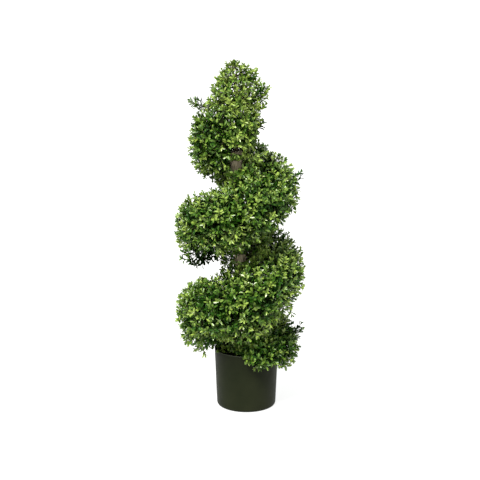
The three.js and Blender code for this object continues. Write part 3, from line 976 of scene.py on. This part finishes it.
# The furthest sprig of all stands on the very top.
highest = np.array([[-TUFT["shift"] + 1 * MM, 0, TUFT["top"]]])
groups.append((highest, UP[None], np.array([3]), np.array([0]), np.array([True])))
end, out, region, dark, loose = (np.concatenate(parts) for parts in zip(*groups))
group_of = np.concatenate([np.full(len(group[0]), number) for number, group in enumerate(groups)])
is_inner = (group_of == 1) | (group_of == 2)  # the band's two layers under its outline
lift = LIFT * np.clip(0.45 + out[:, 2:], 0.1, 1) * np.where(region == 3, TOP_LIFT, 1)[:, None] * UP
way = unit(out + lift + WANDER * unit(random.normal(size=out.shape)))
way[-1] = UP
print("sprigs:", len(end), "of them loose:", int(loose.sum()))

# %% [markdown]
# ## What stays clear
# No leaf or twig may pass into the pole, the pot or its filling, nor outside the frame's box. In two places
# between the turns the pole itself shows, in the upper one with its sawn top, and there nothing may stand in
# front of it. Testing a few points of each leaf and twig is enough, because they are all small.

# %% What stays clear
POLE_GAP, FILLING_GAP = 1.5 * MM, 1 * MM
POT_OUTER_GAP, POT_INNER_GAP, RIM_GAP = 1.5 * MM, 5 * MM, 2 * MM  # from its outer face and its rim
# Openings in front of the pole in metres: middle, half width, and lowest and highest point on the pole's
# front. They rise towards the eye.
GLIMPSES = [(0, 0.0165, 0.74, 0.763), (0.002, 0.0165, 0.785, 0.7985), (0.005, 0.0125, 0.457, 0.478)]
GLIMPSE_RISE, GLIMPSE_START, POLE_FRONT = 0.24, -0.012, 0.018


def in_the_way(points, gap=POLE_GAP):
    """Whether points round the upright axis come within a gap of the pole, or touch what else stays clear."""
    x, y, z = points.T
    radius = np.hypot(x, y)
    blocked = (radius < pole_radius(z) + gap) & (z < (POLE["top"] + 2) * MM)
    rim = POT["height"] * MM
    outside = POT["base"] * MM + (POT["rim"] - POT["base"]) * MM * z / rim
    inside = outside - POT_INNER_GAP
    blocked |= (radius < outside + POT_OUTER_GAP) & (radius > inside) & (z < rim + RIM_GAP)
    blocked |= (radius <= inside) & (z < SOIL + FILLING_GAP)
    level = z + (y + POLE_FRONT) * GLIMPSE_RISE
    for middle, half, low, high in GLIMPSES:
        blocked |= (np.abs(x - middle) < half) & (y < GLIMPSE_START) & (level > low) & (level < high)
    return blocked


BOX_GAP = np.array([2.0, 2.0, 1.3]) * MM


def out_of_box(points):
    """Whether points round the upright axis are outside the frame's box once they have leaned."""
    low, high = (np.array(corner) for corner in cad_box)
    points = leaned(points)
    return ~np.all((points > low + BOX_GAP) & (points < high - BOX_GAP), axis=-1)


print("openings in front of the pole:", len(GLIMPSES))

# %% [markdown]
# ## Where twigs branch
# A stem leaves the pole for each part of the band and meets a bough that winds along the band's middle.
# Thicker twigs branch from that bough, and finer twigs carry on from their ends to the sprigs. The branching
# points are spread by the same helper as the sprigs, only much wider apart.

# %% Branching points
FORK_SPACING, TUFT_FORK_SPACING, FORK_SHARE = 78 * MM, 70 * MM, 0.3
ROOT_WANDER, ROOT_MARGIN = 0.045, 0.03  # turns
ROOT_RISE = 0.55  # how high a twig of the tuft leaves the leader, as a share of its fork's height

fork_turn, fork_around, _ = spread(in_band, BAND_RANGES, FORK_SPACING, 5)
tuft_fork_turn, tuft_fork_rise, _ = spread(in_tuft, ((0, 1), (0.1, 0.8)), TUFT_FORK_SPACING, 6, 4000)
root_turn = fork_turn + between(-ROOT_WANDER, ROOT_WANDER, len(fork_turn))
root_turn = np.clip(root_turn, FIRST_TURN + ROOT_MARGIN, LAST_TURN - ROOT_MARGIN)
band_forks = in_band(fork_turn, fork_around, FORK_SHARE)
tuft_forks = in_tuft(tuft_fork_turn, tuft_fork_rise, FORK_SHARE)
forks = np.concatenate([band_forks, tuft_forks])
roots = np.concatenate(
    [in_band(root_turn, 0 * root_turn, 0), in_tuft(tuft_fork_turn, tuft_fork_rise * ROOT_RISE, 0)]
)
fork_region = np.concatenate([region_of(fork_turn), np.full(len(tuft_fork_turn), 3)])
print("branching points:", len(forks))

# %% [markdown]
# ## Where twigs start
# A sprig is carried from the nearest branching point of its own region, and one of the inner layers straight
# from the bough. Those close round the pole start on the pole itself, a little below their ends.

# %% Where twigs start
TIP_LEAF = 10 * MM  # how far a sprig's end leaves reach past its stem
OTHER_REGION = 0.06  # metres by which a branching point of another region counts as further away
SINGLE_RISE, SLEEVE_RISE = 4 * MM, 24 * MM
LEADER_CARRIES = 6 * MM  # how far from the axis twigs leave the leader
LOWEST_START = SOIL + 4 * MM

stem_end = end - way * TIP_LEAF
distance = np.linalg.norm(stem_end[:, None] - forks[None], axis=-1)
distance += OTHER_REGION * (region[:, None] != fork_region[None])
parent = np.argmin(distance, axis=1)
sprig_start = np.where(is_inner[:, None], roots[parent], forks[parent])
on_pole = (group_of == sleeve_group) | (group_of == singles_group)
rise_to_end = np.where(group_of == singles_group, SINGLE_RISE, SLEEVE_RISE)[:, None]
carrier = np.where(end[:, 2] < POLE["top"] * MM, pole_radius(end[:, 2]), LEADER_CARRIES)[:, None]
pole_start = unit(end * [1, 1, 0]) * carrier + (end[:, 2:] - rise_to_end) * UP
pole_start[:, 2] = np.clip(pole_start[:, 2], LOWEST_START, None)
sprig_start = np.where(on_pole[:, None], pole_start, sprig_start)
print("sprigs that start on the pole:", int(on_pole.sum()))

# %% [markdown]
# ## Twig paths
# Each fine twig is a smooth curve that starts at its branching point and arrives in its sprig's own
# direction, as a stem that grew towards the light. A curve with one control point does that, and the control
# point lies straight behind the sprig.

# %% Twig paths
BEND = 0.5  # how far behind the sprig the control point lies, as a share of the twig's length
TWIG_GAP = -1 * MM  # below zero, because a twig may lie along the pole's bark
THICK_WANDER = 8 * MM
FINE_STEPS, THICK_STEPS = 9, 6


def curve(start, control, finish, steps):
    """Smooth paths from start to finish, with a control point between them."""
    t = np.linspace(0, 1, steps)[None, :, None]
    start, control, finish = (points[:, None, :] for points in (start, control, finish))
    return start * (1 - t) ** 2 + 2 * control * t * (1 - t) + finish * t**2


def twigs_from(start):
    """Each fine twig's straight length, control point and path, and whether it runs into something."""
    chord = np.linalg.norm(stem_end - start, axis=-1)
    control = stem_end - way * (BEND * chord)[:, None]
    paths = curve(start, control, stem_end, FINE_STEPS)
    past_start = paths[:, 1:].reshape(-1, 3)
    met = in_the_way(past_start, TWIG_GAP) | out_of_box(past_start)
    return chord, control, paths, met.reshape(len(paths), -1).any(axis=1)


# A twig that would run into the pole or the pot starts on the pole instead.
sprig_start = np.where(twigs_from(sprig_start)[3][:, None], pole_start, sprig_start)
chord, control, fine_paths, blocked_twig = twigs_from(sprig_start)
thick_control = (roots + forks) / 2 + THICK_WANDER * unit(random.normal(size=roots.shape))
thick_paths = curve(roots, thick_control, forks, THICK_STEPS)
print("longest fine twig:", round(float(chord.max()), 3), "m, blocked:", int(blocked_twig.sum()))

# %% [markdown]
# ## Leaves on the sprigs
# Boxwood carries its leaves in opposite pairs, and each pair is turned a quarter round from the one below.
# Near the end the pairs close up into a little rosette of young leaves. So every sprig has the same ladder
# of pairs, cut short where its twig is short.

# %% Pairs of leaves
# For each pair from the sprig's end down: millimetres below the end, degrees of opening and millimetres of
# leaf.
PAIRS = np.array(
    [
        (0.3, 18, 11.5),
        (3.8, 35, 14.8),
        (9.5, 44, 17.2),
        (18, 49, 18.2),
        (28, 52, 18.2),
        (39, 54, 17.4),
        (51, 55, 16.4),
    ]
)
SPRIG_SIZES, TOP_SIZE = (0.9, 1.08), 0.97
BARE_START = 0.1  # the share of a twig, from its start, that carries no leaves

sprig_size = between(*SPRIG_SIZES, len(end)) * np.where(region == 3, TOP_SIZE, 1.0)
below_end = PAIRS[:, 0] * MM * sprig_size[:, None]
t = 1 - below_end / (2 * BEND * chord)[:, None]
has_pair = t > BARE_START
t = np.clip(t, 0, 1)[..., None]
start, mid, finish = sprig_start[:, None], control[:, None], stem_end[:, None]
pair_place = start * (1 - t) ** 2 + 2 * mid * t * (1 - t) + finish * t**2
pair_way = unit(2 * (mid - start) * (1 - t) + 2 * (finish - mid) * t)
print("pairs of leaves:", int(has_pair.sum()))

# %% [markdown]
# ## Each leaf
# For every leaf at once, the step below works out where it sits, which way it points and which way its upper
# side faces. Spin, opening, roll and length all vary a little, because a perfect ladder reads as a toy.

# %% Each leaf
SPIN_SPREAD, OPENING_SPREAD, ROLL_SPREAD = 0.3, 14, 0.32  # radians, degrees and radians
LEAF_LENGTHS = (0.9, 1.06)
STALK = 0.7 * MM
MISSING = 0.08  # the share of leaves that have come off


def bearings(paths_way, spin):
    """Two sideways directions across each twig, turned by a spin."""
    first = unit(np.cross(paths_way, np.where(np.abs(paths_way[..., 2:]) > 0.9, [1.0, 0, 0], [0, 0, 1.0])))
    second = np.cross(paths_way, first)
    return first * np.cos(spin)[..., None] + second * np.sin(spin)[..., None]


shape = (len(end), len(PAIRS))
spin = between(0, math.tau, len(end))[:, None] + np.arange(len(PAIRS)) * math.pi / 2
spin = spin + random.normal(0, SPIN_SPREAD, shape)
leaf_rows = []
for side in (0, math.pi):
    across = bearings(pair_way, spin + side)
    opening = np.radians(PAIRS[:, 1] + random.normal(0, OPENING_SPREAD, shape))[..., None]
    axis = pair_way * np.cos(opening) + across * np.sin(opening)
    face = pair_way * np.sin(opening) - across * np.cos(opening)
    roll = random.normal(0, ROLL_SPREAD, shape)[..., None]
    face = face * np.cos(roll) + np.cross(axis, face) * np.sin(roll)
    length = PAIRS[:, 2] * MM * sprig_size[:, None] * random.uniform(*LEAF_LENGTHS, shape)
    leaf_rows.append((pair_place + across * STALK, axis, face, length, random.random(shape) > MISSING))
leaf_root, leaf_axis, leaf_face, leaf_length, still_on = (
    np.concatenate([row[part][has_pair] for row in leaf_rows]) for part in range(5)
)
sprig_index, pair_index = (np.concatenate([grid[has_pair]] * 2) for grid in np.indices(shape))
print("leaves before any is left out:", len(leaf_root))

# %% [markdown]
# ## Leaves that are left out
# A leaf is left out where it would touch what stays clear or pass outside the frame's box, and so are the
# leaves of a twig that finds no way.

# %% Leaves that are left out
LEAF_WIDTH = 0.4  # of its length
PAST_EDGE = 0.6  # of its width from the midrib, which is just past the edge of the widest leaf

leaf_tip = leaf_root + leaf_axis * leaf_length[:, None]
leaf_side = np.cross(leaf_face, leaf_axis) * leaf_length[:, None] * LEAF_WIDTH * PAST_EDGE
leaf_middle = (leaf_root + leaf_tip) / 2
bad = in_the_way(leaf_tip) | in_the_way(leaf_root) | in_the_way(leaf_middle) | ~still_on
bad |= blocked_twig[sprig_index]
for point in (leaf_tip, leaf_middle + leaf_side, leaf_middle - leaf_side):
    bad |= out_of_box(point)
leaf_root, leaf_axis, leaf_face, leaf_length, sprig_index, pair_index = (
    part[~bad] for part in (leaf_root, leaf_axis, leaf_face, leaf_length, sprig_index, pair_index)
)
print("leaves:", len(leaf_root), "left out:", int(bad.sum()))

# %% [markdown]
# ## Greens
# Young growth at the ends of the sprigs is yellow-green and the older leaves are deeper, down to a
# blue-green in the shade. Each sprig is dealt one of six greens, its end leaves take the next lighter one
# and its lowest leaves the next darker one. The sprigs of the inner layers are dealt only the darkest greens,
# painted shade for the inside of the foliage. The top of the plant is dealt lighter ones, and so is the right
# side of the middle turn, painted light on leaves that the turn above shades. Leaves of one green share one
# finish, so the colour is a plain value, and only the gloss and the faint unevenness of the surface vary.

# %% Greens
# Base colour, and how strongly the surface mirrors.
GREENS = {
    "lime": ((0.186, 0.262, 0.042), 0.58),
    "fresh": ((0.120, 0.194, 0.026), 0.52),
    "mid": ((0.074, 0.139, 0.015), 0.41),
    "leafy": ((0.036, 0.088, 0.007), 0.28),
    "deep": ((0.013, 0.050, 0.003), 0.16),
    "shade": ((0.005, 0.019, 0.001), 0.05),
}
green_names = list(GREENS)
OUTER_CHANCES = (0.06, 0.22, 0.32, 0.28, 0.12)  # of each green but the darkest
INNER_GREENS, INNER_CHANCES = [3, 4, 5], (0.1, 0.3, 0.6)
LIGHTER_TOP_CHANCE, PAINTED_LIGHT_SIDE_CHANCE = 0.35, 0.8
YOUNG_PAIRS, OLD_PAIRS = 1, 4  # the last young pair and the first old one, from the end down
STRAY_GREEN_CHANCES = (0.12, 0.73, 0.15)  # that a leaf is lighter than its neighbours, like them, or darker

# Each sprig's own steps darker are added here, among them the painted shade of the sparse underside.
dealt = random.choice(5, size=len(end), p=OUTER_CHANCES) + dark
# Painted shade: the sprigs of the two inner layers take only the darkest greens.
dealt = np.where(is_inner, random.choice(INNER_GREENS, size=len(end), p=INNER_CHANCES), dealt)
at_top = region == 3
dealt = dealt - at_top - (at_top & (random.random(len(end)) < LIGHTER_TOP_CHANCE))
# Painted light: the right side of the middle turn, shaded by the turn above, is dealt lighter greens.
painted_light_side = (region == 1) & (end[:, 0] > 40 * MM) & (end[:, 2] > 440 * MM)
dealt = dealt - (painted_light_side & (random.random(len(end)) < PAINTED_LIGHT_SIDE_CHANCE))
step = np.where(pair_index <= YOUNG_PAIRS, -1, np.where(pair_index >= OLD_PAIRS, 1, 0))
step += random.choice([-1, 0, 1], size=len(step), p=STRAY_GREEN_CHANCES)
leaf_green = np.clip(dealt[sprig_index] + step, 0, len(GREENS) - 1)
counts = np.bincount(leaf_green, minlength=len(GREENS)).tolist()
print("leaves of each green:", dict(zip(green_names, counts)))

# %% Leaf finishes
leaf_finishes = []
for name, (colour, mirror) in GREENS.items():
    made = finish_of("leaf_" + name, colour, 0.4, mirror)
    uneven(made, noise_on(made, 300, 2), 0.27, 0.43)
    raised(made, noise_on(made, 700, 2), 0.0004, 0.5)
    leaf_finishes.append(made)
print("leaf finishes:", [made.name for made in leaf_finishes])

# %% [markdown]
# ## One leaf
# The leaf is a small oval that is widest past its middle, cupped along its midrib and bent down at the tip.
# It is used tens of thousands of times, so it has only sixteen triangles. It is one unit long and wide, and
# each use is scaled to its own length, width and cup.

# %% One leaf
STATIONS = [(0.12, 0.2), (0.36, 0.42), (0.63, 0.5), (0.86, 0.34)]  # how far along, and half the width there


def leaf_mesh():
    """A leaf along +X with its upper side to +Z."""
    dip = lambda x: 0.35 * x - 1.1 * x * x
    points = [(0, 0, 0)]
    for x, half in STATIONS:
        points += [(x, half, dip(x) + 1.1 * half), (x, 0, dip(x)), (x, -half, dip(x) + 1.1 * half)]
    points.append((1, 0, dip(1)))
    faces = [(0, 2, 1), (0, 3, 2)]
    for first in range(1, 10, 3):
        faces += [(first, first + 1, first + 4, first + 3), (first + 1, first + 2, first + 5, first + 4)]
    faces += [(10, 11, 13), (11, 12, 13)]
    mesh = bpy.data.meshes.new("one_leaf")
    mesh.from_pydata(points, [], faces)
    mesh.shade_smooth()
    midrib = {0, 2, 5, 8, 11, 13}
    sharp = mesh.attributes.new("sharp_edge", "BOOLEAN", "EDGE")
    sharp.data.foreach_set("value", [set(edge.vertices) <= midrib for edge in mesh.edges])
    return mesh


one_leaf = plain_object("one_leaf", leaf_mesh())
print("one leaf:", len(one_leaf.data.polygons), "faces")

# %% [markdown]
# ## Leaf tree
# The node tree puts one leaf on every point, turned so that it points along its own axis with its upper side
# facing the sprig's end, and scaled to its own size. The points carry those values as attributes.

# %% Leaf tree
leaf_tree, given, result = new_tree("leaves_on_points", Leaf="Object", Finish="Material")
leaf_info = add_node(leaf_tree, "GeometryNodeObjectInfo")
turn_leaf = add_node(leaf_tree, "FunctionNodeAxesToRotation", primary_axis="X", secondary_axis="Z")
to_points = add_node(leaf_tree, "GeometryNodeInstanceOnPoints")
chain(
    leaf_tree,
    given["Leaf"], leaf_info.inputs["Object"],
    named_value(leaf_tree, "leaf_axis", "FLOAT_VECTOR"), turn_leaf.inputs[0],
    named_value(leaf_tree, "leaf_face", "FLOAT_VECTOR"), turn_leaf.inputs[1],
    given["Geometry"], to_points.inputs["Points"],
    leaf_info.outputs["Geometry"], to_points.inputs["Instance"],
    turn_leaf.outputs["Rotation"], to_points.inputs["Rotation"],
    named_value(leaf_tree, "leaf_size", "FLOAT_VECTOR"), to_points.inputs["Scale"],
)
end_tree(leaf_tree, given, to_points.outputs["Instances"], result)
print("nodes of the leaf tree:", len(leaf_tree.nodes))

# %% [markdown]
# ## Leaves on the plant
# Leaves of one green in one region become one piece, so every piece has a single finish and stays small
# enough to handle. Each point also carries how long, wide and cupped its own leaf is.

# %% Leaves on the plant
LEAF_CUP = 0.17  # of its length
WIDTHS, CUPS = (0.88, 1.12), (0.4, 1.5)


def carry(mesh, name, kind, values):
    """Lets a mesh carry one value for each of its points under a name."""
    data = mesh.attributes.new(name, kind, "POINT").data
    data.foreach_set("vector" if kind == "FLOAT_VECTOR" else "value", np.ravel(values).astype(np.float32))


def points_mesh(name, points):
    """A mesh that is only points."""
    mesh = bpy.data.meshes.new(name)
    mesh.vertices.add(len(points))
    mesh.vertices.foreach_set("co", np.ravel(points).astype(np.float32))
    return mesh


leaf_size = np.stack(
    [
        leaf_length,
        leaf_length * LEAF_WIDTH * random.uniform(*WIDTHS, len(leaf_length)),
        leaf_length * LEAF_CUP * random.uniform(*CUPS, len(leaf_length)),
    ],
    -1,
)
leaf_values = {"leaf_axis": leaf_axis, "leaf_face": leaf_face, "leaf_size": leaf_size}
leaf_region = region[sprig_index]
region_nodes = [[node for node in NODES if node.startswith("foliage_" + name)] for name in REGIONS]
region_nodes[3].append("foliage_tip_tuft")
leaf_faces = 0
for number, region_name in enumerate(REGIONS):
    for green, green_name in enumerate(green_names):
        mine = (leaf_region == number) & (leaf_green == green)
        if not mine.any():
            continue
        name = f"leaves_{region_name}_{green_name}"
        mesh = points_mesh(name + "_points", leaned(leaf_root[mine]))
        for value_name, values in leaf_values.items():
            carry(mesh, value_name, "FLOAT_VECTOR", values[mine])
        leaves = run_tree(name, mesh, leaf_tree, Leaf=one_leaf, Finish=leaf_finishes[green])
        leaf_faces += sum(len(face.vertices) - 2 for face in leaves.data.polygons)
        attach(leaves, "root")
        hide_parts(*region_nodes[number])
bpy.data.objects.remove(one_leaf)
print("leaf triangles:", leaf_faces)

# %% [markdown]
# ## Boughs and twigs as tubes
# Boughs and twigs are paths with a thickness at each step. A tree turns such paths into curves and carries a
# small circle along them. Boughs have six sides and fine twigs three, since nobody sees more of them.

# %% Tube tree
tube_tree, given, result = new_tree("tubes_on_paths", Sides="Int", Finish="Material")
to_curve = add_node(tube_tree, "GeometryNodeMeshToCurve")
ring = add_node(tube_tree, "GeometryNodeCurvePrimitiveCircle", {"Radius": 1.0})
tube = add_node(tube_tree, "GeometryNodeCurveToMesh", {"Fill Caps": True})
chain(
    tube_tree,
    given["Geometry"], to_curve.inputs["Mesh"],
    to_curve.outputs["Curve"], tube.inputs["Curve"],
    named_value(tube_tree, "thickness", "FLOAT"), tube.inputs["Scale"],
    given["Sides"], ring.inputs["Resolution"],
    ring.outputs["Curve"], tube.inputs["Profile Curve"],
)
end_tree(tube_tree, given, tube.outputs["Mesh"], result)


def tubes(name, paths, thickness, sides, finish):
    """One piece of tubes along paths of equal length, each with a thickness at each step."""
    count, steps, _ = paths.shape
    mesh = points_mesh(name + "_paths", leaned(paths).reshape(-1, 3))
    first = (np.arange(count)[:, None] * steps + np.arange(steps - 1)).ravel()
    mesh.edges.add(len(first))
    mesh.edges.foreach_set("vertices", np.stack([first, first + 1], -1).ravel())
    carry(mesh, "thickness", "FLOAT", np.broadcast_to(thickness, (count, steps)))
    return run_tree(name, mesh, tube_tree, Sides=sides, Finish=finish)


print("nodes of the tube tree:", len(tube_tree.nodes))

# %% [markdown]
# ## Twigs
# Twigs are the green-brown of young wood and thin out towards the sprigs. The fine ones are drawn for every
# sprig that has found a way, and the thick ones join their branching points to the bough.

# %% Twigs
FINE_TWIG, THICK_TWIG = (1.25, 0.6), (2.2, 1.4)  # radii in millimetres at the start and the end
FINE_SIDES, THICK_SIDES = 3, 5

twig_bark = finish_of("twig_green_brown", (0.04, 0.04, 0.015), 0.6, 0.2)
tinted(twig_bark, noise_on(twig_bark, 90, 3), [(0.35, (0.017, 0.023, 0.007)), (0.7, (0.05, 0.037, 0.018))])
raised(twig_bark, noise_on(twig_bark, 900, 2), 0.0003)

fine_radius = np.linspace(*FINE_TWIG, FINE_STEPS) * MM
thick_radius = np.linspace(*THICK_TWIG, THICK_STEPS) * MM
twig_faces = 0
for number, region_name in enumerate(REGIONS):
    mine = (region == number) & ~blocked_twig
    fine = tubes("fine_twigs_" + region_name, fine_paths[mine], fine_radius, FINE_SIDES, twig_bark)
    mine = fork_region == number
    thick = tubes("twigs_" + region_name, thick_paths[mine], thick_radius, THICK_SIDES, twig_bark)
    for piece in (fine, thick):
        twig_faces += sum(len(face.vertices) - 2 for face in piece.data.polygons)
        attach(piece, "root")
        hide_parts(*region_nodes[number])
print("twig triangles:", twig_faces)

# %% [markdown]
# ## Boughs
# Each region has one bough along the band's middle, and a stem to it from the pole for each mass of foliage.
# Above the pole's sawn top the stems leave the thin leader instead.

# %% Boughs
BOUGH_RADIUS, STEM_RADII = 3.6, (5, 4)  # millimetres
BOUGH_STEPS, BOUGH_SIDES = 25, 6
BOUGH_START, BOUGH_MARGIN = 0.08, 0.05  # turns by which it stays inside the band's ends
LEADER_RADIUS = 7 * MM
STEM_SAG = [0, 0, 0.004]

mass_turns = FIRST_TURN + (np.arange(22) + 0.5) / 6
stem_radius = np.linspace(*STEM_RADII, BOUGH_STEPS) * MM
for number, region_name in enumerate(REGIONS):
    inside = mass_turns[region_of(mass_turns) == number]
    low = FIRST_TURN + number + (BOUGH_START if number == 0 else 0)
    high = min(FIRST_TURN + number + 1, LAST_TURN - BOUGH_MARGIN)
    middle_line = np.linspace(low, high, BOUGH_STEPS)
    bough = in_band(middle_line, 0 * middle_line, 0)[None]
    met = in_band(inside, 0 * inside, 0)
    carrier = np.where(met[:, 2] < POLE["top"] * MM, pole_radius(met[:, 2]), LEADER_RADIUS)
    angle = inside * math.tau
    left_pole = np.stack([np.cos(angle) * carrier, np.sin(angle) * carrier, met[:, 2]], -1)
    stems = curve(left_pole, (left_pole + met) / 2 - STEM_SAG, met, BOUGH_STEPS)
    radii = np.concatenate(
        [np.full((1, BOUGH_STEPS), BOUGH_RADIUS * MM), np.tile(stem_radius, (len(stems), 1))]
    )
    paths = np.concatenate([bough, stems])
    piece = tubes("boughs_" + region_name, paths, radii, BOUGH_SIDES, bough_bark)
    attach(piece, "root")
    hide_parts(*region_nodes[number])
print("stems that carry the boughs:", len(mass_turns))

# %% [markdown]
# ## Leader
# The pole ends below the tip, and a thin rod goes on from its sawn top to carry the tuft. It is one tube
# that tapers, made by the same tree as the boughs.

# %% Leader
LEADER_STEPS, LEADER_SIDES = 16, 10
LEADER_TOP = 1031 * MM
LEADER_RADII = (7, 1.5)  # millimetres

leader_height = np.linspace(POLE["top"] * MM + 0.3 * MM, LEADER_TOP, LEADER_STEPS)
leader_path = np.stack([0 * leader_height, 0 * leader_height, leader_height], -1)[None]
leader_radius = np.linspace(*LEADER_RADII, LEADER_STEPS) * MM
leader = tubes("leader_with_bark", leader_path, leader_radius, LEADER_SIDES, bough_bark)
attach(leader, "root")
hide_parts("leader")
print("leader:", len(leader.data.polygons), "faces")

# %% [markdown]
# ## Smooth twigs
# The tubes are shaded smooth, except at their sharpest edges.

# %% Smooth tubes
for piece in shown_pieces():
    if piece.name.startswith(("fine_twigs", "twigs", "boughs", "leader")):
        piece.data.shade_smooth()
        crease(piece.data, 60)
bpy.context.view_layer.update()
